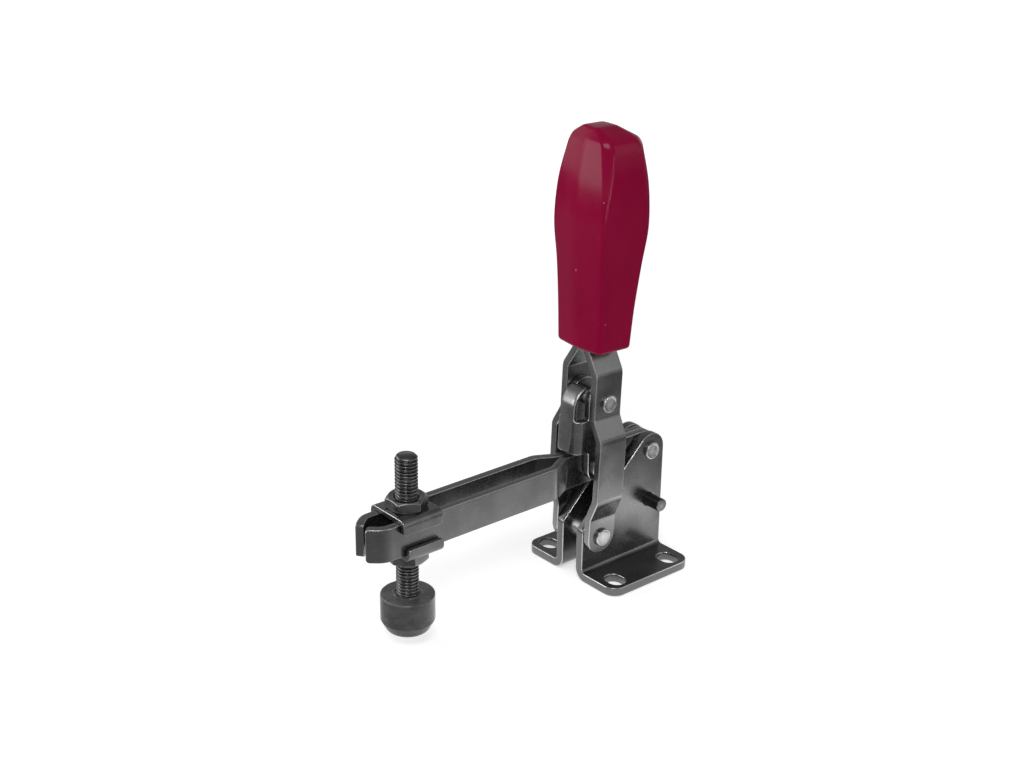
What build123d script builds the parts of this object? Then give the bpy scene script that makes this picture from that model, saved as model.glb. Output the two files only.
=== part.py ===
"""Vertical-handle hold-down toggle clamp with an open arm, an M8 spindle and a rubber cap.

Frame: millimetres, +Z up, +X to the clamp's side, the arm and spindle point to -Y.
The origin is the centre of the four base slots, on the underside of the feet.
The clamp is drawn locked: handle upright, arm level.
"""
import os
from math import cos, radians, sin, tan

from build123d import *

# ---- Driving sizes -------------------------------------------------------------------
# Base: two bent sheets, mirror images, with the feet turned outwards
FOOT_LENGTH = 40.0          # along Y
BASE_WIDTH = 49.0           # across both feet
BASE_SHEET = 3.5
BASE_BEND = 1.5             # inside bend radius
FOOT_CORNER = 5.0
SLOT_WIDTH = 6.8            # takes an M6 screw
SLOT_LENGTH = 8.5
SLOT_SPACING_X = 36.6
SLOT_SPACING_Y = 27.0
PIVOT_EDGE = 6.6            # metal round a pivot hole in the base
HANDLE_PIVOT_HEIGHT = 17.7
WALL_FRONT_CORNER = 2.5

# Linkage, measured between pivot axes
HANDLE_RADIUS = 52.7        # handle pivot to link pivot
LINK_LENGTH = 26.3
HANDLE_LEAN = 2.06          # degrees that the locked handle leans back

# Arm: two flat bars, together at the pivot and apart along the slot
BAR_THICKNESS = 3.0
BAR_HEIGHT = 12.5
ARM_REACH = 127.7           # arm pivot to the tips
ARM_SLOT_REAR = 46.8        # arm pivot to where the bars run parallel
ARM_CONVERGE = 28.0         # degrees that the bars spread behind the slot
TIP_ANGLE = 40.0            # degrees that the tips turn in
TIP_GAP = 1.1               # between the inner corners of the two tips
BAR_BEND = 6.0              # centre-line radius of the bar's bends
BAR_CORNER = 1.4            # rounding of the tips' corners

# Handle: two joggled strips, together inside the grip
STRIP_THICKNESS = 3.0
STRIP_WIDTH = 12.7
BULGE_INNER = 10.4          # half the gap where the strips clear the rivet heads
JOGGLE_LOW = 8.0            # up the strip from the handle pivot: start of the bulge
JOGGLE_LOW_END = 16.0
JOGGLE_HIGH = 13.2          # below the link pivot: end of the bulge
JOGGLE_HIGH_END = 5.8
TANG_START = 11.2           # above the link pivot: where the strips turn in
TANG_SLOPE = 32.0           # degrees
STRIP_BEND = 5.0
TANG_LENGTH = 60.0          # inside the grip

# Link: one bent sheet, two ears, a front web and a curled tongue
LINK_SHEET = 2.8
LINK_FRONT = 11.6           # pivot axes to the front face of the web
LINK_BEND = 1.0
EAR_TOP = 6.2               # ear radius at the handle rivet
EAR_BOTTOM = 4.9            # ear radius at the arm rivet
WEB_BOTTOM = 7.0            # above the arm rivet
WEB_HEIGHT = 12.8
NOTCH_CORNER = 1.0
TONGUE_WIDTH = 6.4
TONGUE_ROOT = 0.9           # fillet where the tongue leaves the web
TONGUE_START = 2.0          # curl starts this far below the handle rivet
TONGUE_CURL = 8.0           # outside radius
TONGUE_SWEEP = 84.0         # degrees of curl

# Rivets and pins
RIVET = 5.0
RIVET_HEAD = 6.7
HEAD_HEIGHT = 1.3
HEAD_DISH = 0.25
HEAD_RIM = 0.65
HEAD_SLOPE = 0.3            # from the rim down into the dish
HEAD_EDGE = 0.35
BUSH = 7.2
PIVOT_WASHER = 0.45         # thickness
PIVOT_WASHER_OUTER = 12.0
SPACER = 8.0
STOP_PIN = 5.0
STOP_PIN_LENGTH = 28.6
STOP_PIN_HEIGHT = 23.7
PIN_CHAMFER = 0.5

# Spindle set
SPINDLE = 8.0               # M8
SPINDLE_LENGTH = 63.0
SPINDLE_ABOVE = 19.1        # above the upper washer
SPINDLE_FROM_TIP = 19.4
NUT_ACROSS_FLATS = 13.0
NUT_HEIGHT = 4.0
NUT_CROWN = 0.97            # flat ring on the nut's face, as a share of the width across flats
LOWER_NUT_TURN = -16.0      # degrees that the lower nut stopped past the upper one
SPINDLE_CHAMFER = 0.9
WASHER_SHEET = 1.8
UPPER_REACH = (8.2, 8.2)    # along the arm from the spindle: to the front and rear of the washer
LOWER_REACH = (6.2, 8.7)
WASHER_BEND = 0.5
WASHER_CORNER = 1.2
UPPER_FLANGE = 5.4          # overall height of the upper flanged washer
LOWER_FLANGE = 4.8
CAP = 19.1
CAP_HEIGHT = 14.1
CAP_FLOOR = 3.5             # rubber under the end of the spindle
CAP_TAPER_HEIGHT = 4.4
CAP_TAPER_RADIUS = 2.4
CAP_TOP_EDGE = 0.5
CAP_BOTTOM_EDGE = 2.6
CAP_RECESS = 10.4           # across the hollow round the spindle
CAP_RECESS_DEPTH = 1.6

# Grip: hexagonal, fullest above the middle, with a hipped top
GRIP_BOTTOM = 20.2          # above the link pivot
GRIP_LENGTH = 80.0
GRIP_HIP = 4.4              # height of the hipped top
GRIP_SECTIONS = [           # share of the height to the rim, half width, half depth, ridge, cut
    (0.0, 11.5, 7.7, 1.6, 1.2),
    (0.2, 11.7, 8.8, 1.6, 1.1),
    (0.4, 12.1, 10.0, 1.8, 1.0),
    (0.6, 12.8, 11.2, 1.8, 0.9),
    (0.8, 12.8, 10.9, 1.5, 2.0),
    (1.0, 11.0, 9.5, 0.8, 2.5),
]
GRIP_TOP = (3.1, 4.6, 0.2, 0.7)     # the small flat on the hipped top
GRIP_TOP_FORWARD = 2.8      # from the handle's line to the middle of that flat
GRIP_EDGE = 1.2

# Clearances
RUNNING = 0.05              # radial, between a rivet and what turns on it
SLIDE = 0.10                # between flat faces that pass each other
SIDE = 0.20                 # link ears on the arm and in the handle
WASHER_GAP = 0.45           # flanges of the washers beside the arm
BORE = 0.20                 # radial, round the spindle

# ---- Places that follow ---------------------------------------------------------------
LAMINATION = 0.05
SLOT_HALF = SPINDLE / 2 + BORE
ARM_OUTER = SLOT_HALF + BAR_THICKNESS
WALL_INNER = LAMINATION + BAR_THICKNESS + PIVOT_WASHER + SLIDE
WALL_OUTER = WALL_INNER + BASE_SHEET
STRIP_LOW = WALL_OUTER + SLIDE
EAR_INNER = LAMINATION + BAR_THICKNESS + SIDE
EAR_OUTER = EAR_INNER + LINK_SHEET
STRIP_AT_LINK = EAR_OUTER + SIDE

HANDLE_PIVOT = Vector(0, -FOOT_LENGTH / 2 + PIVOT_EDGE, HANDLE_PIVOT_HEIGHT)
UP_HANDLE = Vector(0, sin(radians(HANDLE_LEAN)), cos(radians(HANDLE_LEAN)))
LINK_PIVOT = HANDLE_PIVOT + UP_HANDLE * HANDLE_RADIUS
ARM_RIVET = LINK_PIVOT - UP_HANDLE * LINK_LENGTH
ARM_PIVOT = Vector(0, FOOT_LENGTH / 2 - PIVOT_EDGE, ARM_RIVET.Z)
ARM_TOP = ARM_PIVOT.Z + BAR_HEIGHT / 2
ARM_BOTTOM = ARM_PIVOT.Z - BAR_HEIGHT / 2
TIP_Y = ARM_PIVOT.Y - ARM_REACH
SPINDLE_Y = TIP_Y + SPINDLE_FROM_TIP
WASHER_TOP = ARM_TOP + WASHER_SHEET
WASHER_BOTTOM = ARM_BOTTOM - WASHER_SHEET
SPINDLE_TOP = WASHER_TOP + SPINDLE_ABOVE


# ---- Helpers --------------------------------------------------------------------------
def across(sketch, half):
    """Solid of a side-view sketch (on Plane.YZ), spread both ways along X."""
    return extrude(sketch, half, both=True)


def bar_x(radius, x_from, x_to, at):
    """Round bar along X between two x values, centred on a pivot."""
    return Pos(x_from, at.Y, at.Z) * (Rot(0, 90, 0) * Cylinder(
        radius, x_to - x_from, align=(Align.CENTER, Align.CENTER, Align.MIN)))


def rivet(at, grip_half, heads=(-1, 1), reach=None):
    """Rivet along X: shank through plus or minus grip_half, dished heads outside."""
    head = Plane.XZ * Polyline((0, 0), (RIVET_HEAD / 2, 0), (RIVET_HEAD / 2, HEAD_HEIGHT),
                               (RIVET_HEAD / 2 - HEAD_RIM, HEAD_HEIGHT),
                               (RIVET_HEAD / 2 - HEAD_RIM - HEAD_SLOPE, HEAD_HEIGHT - HEAD_DISH),
                               (0, HEAD_HEIGHT - HEAD_DISH), close=True)
    head = revolve(make_face(head), Axis.Z)
    rim = head.edges().filter_by(GeomType.CIRCLE).group_by(Axis.Z)[-1]
    head = fillet(rim.sort_by(SortBy.RADIUS)[-1], HEAD_EDGE)
    if reach is None:
        solid = bar_x(RIVET / 2, -grip_half, grip_half, at)
    else:
        solid = bar_x(RIVET / 2, min(reach * heads[0], grip_half * heads[0]),
                      max(reach * heads[0], grip_half * heads[0]), at)
    for side in heads:
        solid += Pos(side * grip_half, at.Y, at.Z) * Rot(0, 90 * side, 0) * head
    return solid


def strip_along(points, radius, thickness, width):
    """Flat strip that follows filleted points (on Plane.XZ), width along Y."""
    path = Plane.XZ * FilletPolyline(*points, radius=radius)
    start = path @ 0
    section = Plane(origin=start, z_dir=path % 0, x_dir=(0, 1, 0)) * Rectangle(width, thickness)
    return sweep(section, path=path)


def left_of(part):
    return mirror(part, about=Plane.YZ)


# ---- Base -----------------------------------------------------------------------------
def base_bracket():
    top = ARM_PIVOT.Z + PIVOT_EDGE + 2
    outer = BASE_WIDTH / 2
    profile = Polyline((WALL_INNER, top), (WALL_INNER, 0), (outer, 0), (outer, BASE_SHEET),
                       (WALL_OUTER, BASE_SHEET), (WALL_OUTER, top), close=True)
    face = make_face(Plane.XZ * profile)
    sheet = extrude(face, FOOT_LENGTH / 2, both=True)
    bends = sheet.edges().filter_by(Axis.Y)
    sheet = fillet(bends.filter_by_position(Axis.X, WALL_OUTER - 0.1, WALL_OUTER + 0.1)
                   .filter_by_position(Axis.Z, BASE_SHEET - 0.1, BASE_SHEET + 0.1), BASE_BEND)
    bends = sheet.edges().filter_by(Axis.Y)
    sheet = fillet(bends.filter_by_position(Axis.X, WALL_INNER - 0.1, WALL_INNER + 0.1)
                   .filter_by_position(Axis.Z, -0.1, 0.1), BASE_BEND + BASE_SHEET)

    # Wall outline: a slope tangent to the metal round both pivots
    along = (ARM_PIVOT - HANDLE_PIVOT).normalized()
    on_slope = HANDLE_PIVOT + Vector(0, -along.Z, along.Y) * PIVOT_EDGE
    front, rear = -FOOT_LENGTH / 2, FOOT_LENGTH / 2
    height_at = lambda y: on_slope.Z + (y - on_slope.Y) * along.Z / along.Y
    outline = make_face(Polyline((front, 0), (rear, 0), (rear, height_at(rear)),
                                 (front, height_at(front)), close=True))
    outline = fillet(outline.vertices().sort_by(Axis.Y)[-1], PIVOT_EDGE)
    outline = fillet([v for v in outline.vertices()
                      if abs(v.X - front) < 0.01 and v.Y > 1], WALL_FRONT_CORNER)
    wall = extrude(Plane.YZ * outline, outer + 1)

    plan = Rectangle(outer + 1, FOOT_LENGTH, align=(Align.MIN, Align.CENTER))
    plan = Pos(-1, 0) * plan
    plan = fillet([v for v in plan.vertices() if v.X > 1], FOOT_CORNER)
    foot = extrude(plan, top)

    part = sheet & wall & foot
    slot = SlotOverall(SLOT_LENGTH, SLOT_WIDTH)
    for y in (-SLOT_SPACING_Y / 2, SLOT_SPACING_Y / 2):
        part -= Pos(SLOT_SPACING_X / 2, y, -1) * extrude(slot, BASE_SHEET + 2)
    for pivot in (HANDLE_PIVOT, ARM_PIVOT):
        part -= bar_x(RIVET / 2, 0, outer, pivot)
    part -= bar_x(STOP_PIN / 2, 0, outer, Vector(0, ARM_PIVOT.Y, STOP_PIN_HEIGHT))
    return part


# ---- Arm ------------------------------------------------------------------------------
def arm_bar():
    mid_rear = LAMINATION + BAR_THICKNESS / 2
    mid_slot = SLOT_HALF + BAR_THICKNESS / 2
    parallel = ARM_PIVOT.Y - ARM_SLOT_REAR
    spread = parallel + (mid_slot - mid_rear) / tan(radians(ARM_CONVERGE))
    turn_in = radians(TIP_ANGLE)
    # Inner corner of the tip, then the mid point of its end face
    tip_x = TIP_GAP / 2 + BAR_THICKNESS / 2 * cos(turn_in)
    tip_y = TIP_Y + BAR_THICKNESS / 2 * sin(turn_in)
    turn_y = tip_y + (mid_slot - tip_x) / tan(turn_in)
    bar = strip_along([(mid_rear, ARM_PIVOT.Y + BAR_HEIGHT / 2 + 1), (mid_rear, spread),
                       (mid_slot, parallel), (mid_slot, turn_y), (tip_x, tip_y)],
                      BAR_BEND, BAR_THICKNESS, BAR_HEIGHT)
    bar = Pos(0, 0, ARM_PIVOT.Z) * Rot(-90, 0, 0) * bar      # the drawn height becomes Y

    side = Pos((TIP_Y - 1 + ARM_PIVOT.Y + BAR_HEIGHT / 2) / 2, ARM_PIVOT.Z) * Rectangle(
        ARM_REACH + BAR_HEIGHT / 2 + 1, BAR_HEIGHT)
    side = fillet(side.vertices().sort_by(Axis.X)[-2:], BAR_HEIGHT / 2 - 0.001)
    bar &= across(Plane.YZ * side, ARM_OUTER + 1)
    tip = bar.faces().sort_by(Axis.Y)[0]
    bar = fillet([e for e in tip.edges() if abs(e.tangent_at(0.5).Z) < 0.1], BAR_CORNER)
    bar -= bar_x(BUSH / 2, 0, ARM_OUTER, ARM_PIVOT)
    bar -= bar_x(RIVET / 2 + RUNNING, 0, ARM_OUTER, ARM_RIVET)
    return bar


def pivot_washer():
    inside = LAMINATION + BAR_THICKNESS
    ring = bar_x(PIVOT_WASHER_OUTER / 2, inside, inside + PIVOT_WASHER, ARM_PIVOT)
    return ring - bar_x(BUSH / 2, 0, ARM_OUTER, ARM_PIVOT)


# ---- Handle ---------------------------------------------------------------------------
def upright(part, pivot=HANDLE_PIVOT):
    """Stand a part drawn upright about a pivot on the leaning handle line."""
    return Pos(*pivot) * Rot(-HANDLE_LEAN, 0, 0) * part


def handle_side():
    half = STRIP_THICKNESS / 2
    low, wide = STRIP_LOW + half, BULGE_INNER + half
    high, tang = STRIP_AT_LINK + half, LAMINATION + half
    turn = HANDLE_RADIUS + TANG_START
    meet = turn + (high - tang) / tan(radians(TANG_SLOPE))
    top = HANDLE_RADIUS + GRIP_BOTTOM + TANG_LENGTH
    strip = strip_along([(low, -STRIP_WIDTH / 2), (low, JOGGLE_LOW), (wide, JOGGLE_LOW_END),
                         (wide, HANDLE_RADIUS - JOGGLE_HIGH),
                         (high, HANDLE_RADIUS - JOGGLE_HIGH_END), (high, turn),
                         (tang, meet), (tang, top)], STRIP_BEND, STRIP_THICKNESS, STRIP_WIDTH)
    length = top + STRIP_WIDTH / 2
    outline = Pos(0, length / 2 - STRIP_WIDTH / 2) * Rectangle(STRIP_WIDTH, length)
    ends = outline.vertices().sort_by(Axis.Y)
    outline = fillet(ends[:2], STRIP_WIDTH / 2 - 0.001)
    outline = chamfer(outline.vertices().sort_by(Axis.Y)[-2:], 2)
    strip &= across(Plane.YZ * outline, wide + STRIP_THICKNESS)
    strip -= bar_x(RIVET / 2 + RUNNING, 0, 2 * wide, Vector(0, 0, 0))
    strip -= bar_x(RIVET / 2, 0, 2 * wide, Vector(0, 0, HANDLE_RADIUS))
    return upright(strip)


def grip_section(height, a, b, ridge, cut, forward=0.0):
    """Six-sided outline with cut corners: half width a, half depth b at the corners."""
    quarter = [(a, b - cut), (a - cut, b), (0, b + ridge)]
    points = (quarter + [(-x, y) for x, y in quarter[1::-1]]
              + [(-x, -y) for x, y in quarter] + [(x, -y) for x, y in quarter[1::-1]])
    return Pos(0, -forward, height) * make_face(Polyline(*points, close=True))


def grip():
    rim = GRIP_LENGTH - GRIP_HIP
    sections = [grip_section(share * rim, *sizes) for share, *sizes in GRIP_SECTIONS]
    top = grip_section(GRIP_LENGTH, *GRIP_TOP, GRIP_TOP_FORWARD)
    body = loft(sections) + loft([sections[-1], top], ruled=True)
    body = fillet(body.faces().sort_by(Axis.Z)[0].edges(), GRIP_EDGE)
    body = upright(Pos(0, 0, HANDLE_RADIUS + GRIP_BOTTOM) * body)
    for side in (handle_side(), left_of(handle_side())):
        body -= side
    return body


# ---- Link -----------------------------------------------------------------------------
def toggle_link():
    """Drawn with the arm rivet at the origin and the handle rivet straight above it."""
    outer, inner = EAR_OUTER, EAR_INNER
    front, back = -LINK_FRONT, EAR_TOP
    height = LINK_LENGTH + EAR_TOP + EAR_BOTTOM
    channel = Polyline((outer, back), (outer, front), (-outer, front), (-outer, back),
                       (-inner, back), (-inner, front + LINK_SHEET),
                       (inner, front + LINK_SHEET), (inner, back), close=True)
    channel = make_face(channel)
    corners = channel.vertices().group_by(Axis.Y)
    channel = fillet(corners[0], LINK_SHEET + LINK_BEND)
    inside = [v for v in channel.vertices()
              if abs(v.Y - front - LINK_SHEET) < 0.01 and abs(abs(v.X) - inner) < 0.01]
    channel = fillet(inside, LINK_BEND)
    channel = Pos(0, 0, -EAR_BOTTOM) * extrude(channel, height)

    # Side view: ears round both rivets, and the web reaching forward between two notches
    ears = make_hull((Circle(EAR_BOTTOM).edges() + (Pos(0, LINK_LENGTH) * Circle(EAR_TOP)).edges()))
    web = Pos((front - 1) / 2, WEB_BOTTOM + WEB_HEIGHT / 2) * Rectangle(-front + 1, WEB_HEIGHT)
    side = ears + web
    notches = [v for v in side.vertices() if -EAR_TOP - 0.5 < v.X < -EAR_BOTTOM + 0.5
               and WEB_BOTTOM - 0.2 < v.Y < WEB_BOTTOM + WEB_HEIGHT + 0.2]
    side = fillet(notches, NOTCH_CORNER)
    link = channel & across(Plane.YZ * side, outer + 1)

    # Tongue: straight up from the web, then curled back over the handle rivet
    curl_at = (front + TONGUE_CURL, LINK_LENGTH - TONGUE_START)
    ring = Circle(TONGUE_CURL) - Circle(TONGUE_CURL - LINK_SHEET)
    far = 3 * TONGUE_CURL
    sweep_end = radians(180 - TONGUE_SWEEP)
    keep = make_face(Polyline((0, 0), (-far, 0), (-far, far), (far * cos(sweep_end), far), (
        far * cos(sweep_end), far * sin(sweep_end)), close=True))
    curl = Pos(*curl_at) * (ring & keep)
    foot = WEB_BOTTOM + WEB_HEIGHT - 2
    stem = Pos(front + LINK_SHEET / 2, (foot + curl_at[1]) / 2) * Rectangle(
        LINK_SHEET, curl_at[1] - foot)
    link += across(Plane.YZ * (stem + curl), TONGUE_WIDTH / 2)
    roots = [e for e in link.edges().filter_by(Axis.Y)
             if abs(abs(e.center().X) - TONGUE_WIDTH / 2) < 0.01
             and abs(e.center().Z - WEB_BOTTOM - WEB_HEIGHT) < 0.01]
    link = fillet(roots, TONGUE_ROOT)
    link -= bar_x(RIVET / 2, -2 * outer, 2 * outer, Vector(0, 0, 0))
    link -= bar_x(RIVET / 2 + RUNNING, -2 * outer, 2 * outer, Vector(0, 0, LINK_LENGTH))
    return upright(link, ARM_RIVET)


# ---- Spindle set ----------------------------------------------------------------------
def flanged_washer(height, reach, flanges_up):
    """Sheet saddle with a flange down each side of the arm, bore for the spindle."""
    inner = ARM_OUTER + WASHER_GAP
    outer = inner + WASHER_SHEET
    face = make_face(Polyline((-outer, 0), (outer, 0), (outer, -height), (inner, -height),
                              (inner, -WASHER_SHEET), (-inner, -WASHER_SHEET),
                              (-inner, -height), (-outer, -height), close=True))
    top = [v for v in face.vertices() if abs(v.Y) < 0.01]
    face = fillet(top, WASHER_SHEET + WASHER_BEND)
    inside = [v for v in face.vertices()
              if abs(v.Y + WASHER_SHEET) < 0.01 and abs(abs(v.X) - inner) < 0.01]
    face = fillet(inside, WASHER_BEND)
    front, rear = reach
    saddle = Pos(0, rear, 0) * extrude(Plane.XZ * face, front + rear)
    corners = [e for e in saddle.edges().filter_by(Axis.X) if abs(e.center().Z + height) < 0.01]
    saddle = fillet(corners, WASHER_CORNER)
    saddle -= Cylinder(SPINDLE / 2 + BORE, 4 * WASHER_SHEET)
    return Rot(0, 180, 0) * saddle if flanges_up else saddle


def hex_nut():
    """Thin nut, standing on z = 0, both rims chamfered at 30 degrees."""
    nut = extrude(RegularPolygon(NUT_ACROSS_FLATS / 2, 6, major_radius=False), NUT_HEIGHT)
    crown = NUT_ACROSS_FLATS / 2 * NUT_CROWN
    corner = NUT_ACROSS_FLATS / 2 / cos(radians(30))
    drop = (corner - crown) * tan(radians(30))
    turned = Polyline((0, 0), (crown, 0), (corner, drop), (corner, NUT_HEIGHT - drop),
                      (crown, NUT_HEIGHT), (0, NUT_HEIGHT), close=True)
    nut &= revolve(make_face(Plane.XZ * turned), Axis.Z)
    nut -= Cylinder(SPINDLE / 2 + RUNNING, 3 * NUT_HEIGHT)
    return nut


def spindle():
    rod = Cylinder(SPINDLE / 2, SPINDLE_LENGTH, align=(Align.CENTER, Align.CENTER, Align.MAX))
    return chamfer(rod.edges().filter_by(GeomType.CIRCLE), SPINDLE_CHAMFER)


def rubber_cap():
    """Cap standing on z = 0, moulded round the end of the spindle."""
    low = CAP / 2 - CAP_TAPER_RADIUS
    outline = make_face(Plane.XZ * Polyline((0, 0), (low, 0), (CAP / 2, CAP_TAPER_HEIGHT),
                                            (CAP / 2, CAP_HEIGHT), (0, CAP_HEIGHT), close=True))
    cap = revolve(outline, Axis.Z)
    cap = fillet(cap.faces().sort_by(Axis.Z)[0].edges(), CAP_BOTTOM_EDGE)
    cap = fillet(cap.faces().sort_by(Axis.Z)[-1].edges(), CAP_TOP_EDGE)
    cap -= Pos(0, 0, CAP_HEIGHT) * Cylinder(CAP_RECESS / 2, 2 * CAP_RECESS_DEPTH)
    return cap - Pos(0, 0, CAP_FLOOR + SPINDLE_LENGTH) * spindle()


# ---- Assembly -------------------------------------------------------------------------
def build():
    parts = {}
    bracket = base_bracket()
    parts["base_bracket_right"] = bracket
    parts["base_bracket_left"] = left_of(bracket)
    bar = arm_bar()
    parts["arm_bar_right"] = bar
    parts["arm_bar_left"] = left_of(bar)
    side = handle_side()
    parts["handle_side_right"] = side
    parts["handle_side_left"] = left_of(side)
    parts["grip"] = grip()
    parts["toggle_link"] = toggle_link()

    parts["handle_pivot_rivet"] = rivet(HANDLE_PIVOT, STRIP_LOW + STRIP_THICKNESS + SLIDE / 2)
    spacer = bar_x(SPACER / 2, -WALL_INNER, WALL_INNER, HANDLE_PIVOT)
    parts["handle_pivot_spacer"] = spacer - bar_x(RIVET / 2, -WALL_INNER, WALL_INNER, HANDLE_PIVOT)
    parts["link_top_rivet"] = rivet(LINK_PIVOT, STRIP_AT_LINK + STRIP_THICKNESS)
    bush = bar_x(BUSH / 2, -EAR_INNER + SLIDE, EAR_INNER - SLIDE, LINK_PIVOT)
    parts["link_top_bush"] = bush - bar_x(RIVET / 2, -EAR_INNER, EAR_INNER, LINK_PIVOT)
    parts["arm_link_rivet"] = rivet(ARM_RIVET, EAR_OUTER)
    end = rivet(ARM_PIVOT, WALL_OUTER, heads=(1,), reach=WALL_INNER)
    parts["arm_pivot_rivet_right"] = end
    parts["arm_pivot_rivet_left"] = left_of(end)
    parts["arm_pivot_bush"] = bar_x(BUSH / 2, -WALL_INNER + SLIDE / 2, WALL_INNER - SLIDE / 2,
                                    ARM_PIVOT)
    washer = pivot_washer()
    parts["arm_pivot_washer_right"] = washer
    parts["arm_pivot_washer_left"] = left_of(washer)
    pin = bar_x(STOP_PIN / 2, -STOP_PIN_LENGTH / 2, STOP_PIN_LENGTH / 2,
                Vector(0, ARM_PIVOT.Y, STOP_PIN_HEIGHT))
    parts["stop_pin"] = chamfer(pin.edges().filter_by(GeomType.CIRCLE), PIN_CHAMFER)

    on_axis = Pos(0, SPINDLE_Y, 0)
    parts["upper_flanged_washer"] = on_axis * Pos(0, 0, WASHER_TOP) * flanged_washer(
        UPPER_FLANGE, UPPER_REACH, False)
    parts["lower_flanged_washer"] = on_axis * Pos(0, 0, WASHER_BOTTOM) * flanged_washer(
        LOWER_FLANGE, LOWER_REACH, True)
    parts["upper_nut"] = on_axis * Pos(0, 0, WASHER_TOP) * hex_nut()
    parts["lower_nut"] = (on_axis * Pos(0, 0, WASHER_BOTTOM - NUT_HEIGHT)
                          * Rot(0, 0, LOWER_NUT_TURN) * hex_nut())
    parts["spindle"] = on_axis * Pos(0, 0, SPINDLE_TOP) * spindle()
    parts["rubber_cap"] = on_axis * Pos(0, 0, SPINDLE_TOP - SPINDLE_LENGTH - CAP_FLOOR) * rubber_cap()
    return parts


PARTS = build()
os.makedirs("parts", exist_ok=True)
for node, solid in PARTS.items():
    export_step(solid, f"parts/{node}.step")
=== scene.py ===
# %% [markdown]
# # A vertical-handle toggle clamp
# This lesson dresses a finished CAD model of a toggle clamp. The CAD part fixes every size and
# place; here each piece gets the rounded edges, threads and finishes of the real thing.
# The first cell loads that model. The new pieces must stay inside it.

# %% Load the clamp
import math

import bmesh
import bpy
import numpy as np
from mathutils import Matrix, geometry


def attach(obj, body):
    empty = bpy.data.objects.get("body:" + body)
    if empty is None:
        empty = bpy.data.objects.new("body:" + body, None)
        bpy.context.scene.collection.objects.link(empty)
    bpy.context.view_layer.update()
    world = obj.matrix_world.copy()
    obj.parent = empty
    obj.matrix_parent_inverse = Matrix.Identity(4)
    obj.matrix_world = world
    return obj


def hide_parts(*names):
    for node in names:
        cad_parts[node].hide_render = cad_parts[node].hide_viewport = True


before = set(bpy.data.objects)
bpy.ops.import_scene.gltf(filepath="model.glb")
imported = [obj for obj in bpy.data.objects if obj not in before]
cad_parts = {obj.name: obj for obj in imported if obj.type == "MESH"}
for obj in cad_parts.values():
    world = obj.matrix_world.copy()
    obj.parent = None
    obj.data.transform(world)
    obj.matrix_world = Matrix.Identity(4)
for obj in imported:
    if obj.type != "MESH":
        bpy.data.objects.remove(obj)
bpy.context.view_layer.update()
MM = 0.001

# %% [markdown]
# ## Sizes
# A clamp is a few pivots with sheet metal between them, so the sizes are the pivots and the
# sheets. They are in millimetres, as on a workshop drawing, and are turned into metres only
# when a mesh is made. The locked handle leans back a little, so what stands on it is drawn
# upright and leaned afterwards.

# %% Sizes of the clamp
LEAN = math.radians(2.06)
UP = np.array([0.0, math.sin(LEAN), math.cos(LEAN)])
HANDLE_REACH, LINK_REACH, ARM_REACH = 52.7, 26.3, 127.7
PIVOT_Y = 13.4
HANDLE_PIVOT = np.array([0.0, -PIVOT_Y, 17.7])
LINK_PIVOT = HANDLE_PIVOT + HANDLE_REACH * UP
ARM_RIVET = LINK_PIVOT - LINK_REACH * UP
ARM_PIVOT = np.array([0.0, PIVOT_Y, ARM_RIVET[2]])
STOP_PIN_AT = np.array([0.0, PIVOT_Y, 23.7])

BASE_SHEET, BAR_SHEET, LINK_SHEET, SADDLE_SHEET = 3.5, 3.0, 2.8, 1.8
BASE_HALF, ARM_HALF, STRIP_HALF = 24.5, 6.25, 6.35
SPINDLE_FROM_TIP, SPINDLE_ABOVE, SPINDLE_LONG = 19.4, 19.1, 63.0
CAP_FLOOR, CAP_TOP = 3.5, 14.1
SPINDLE_Y = ARM_PIVOT[1] - ARM_REACH + SPINDLE_FROM_TIP
ARM_TOP, ARM_BOTTOM = ARM_PIVOT[2] + ARM_HALF, ARM_PIVOT[2] - ARM_HALF
SPINDLE_TOP = ARM_TOP + SADDLE_SHEET + SPINDLE_ABOVE
CAP_BOTTOM = SPINDLE_TOP - SPINDLE_LONG - CAP_FLOOR
print("arm pivot", ARM_PIVOT, "spindle top", SPINDLE_TOP)

# %% [markdown]
# ## From arrays to a piece
# Every shape below ends as an array of points and a list of faces. One helper turns them into
# an object, welds the seams and poles, points the faces outwards, hides the CAD part that it
# stands for and hangs the piece under its body.

# %% Make a piece from points and faces


def make_piece(name, points, faces, material, body, uv=None, marks=None):
    """Mesh whose vertices are points (millimetres) times 0.001, with the given faces."""
    mesh = bpy.data.meshes.new(name)
    mesh.from_pydata((np.asarray(points) * MM).tolist(), [], faces)
    for label, values in (marks or {}).items():
        layer = mesh.attributes.new(label, "FLOAT", "POINT")
        layer.data.foreach_set("value", np.asarray(values, np.float32))
    if uv is not None:
        corner = np.zeros(len(mesh.loops), np.int32)
        mesh.loops.foreach_get("vertex_index", corner)
        mesh.uv_layers.new(name="flat").data.foreach_set(
            "uv", (np.asarray(uv)[corner] * MM).astype(np.float32).ravel())
    bm = bmesh.new()
    bm.from_mesh(mesh)
    bmesh.ops.remove_doubles(bm, verts=bm.verts, dist=1e-7)
    bmesh.ops.recalc_face_normals(bm, faces=bm.faces)
    bm.to_mesh(mesh)
    bm.free()
    mesh.shade_smooth()
    piece = bpy.data.objects.new(name, mesh)
    bpy.context.scene.collection.objects.link(piece)
    mesh.materials.append(material)
    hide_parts(name.replace("_shown", ""))
    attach(piece, body)
    print(name, len(mesh.vertices), "points", len(mesh.polygons), "faces")
    return piece


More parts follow.
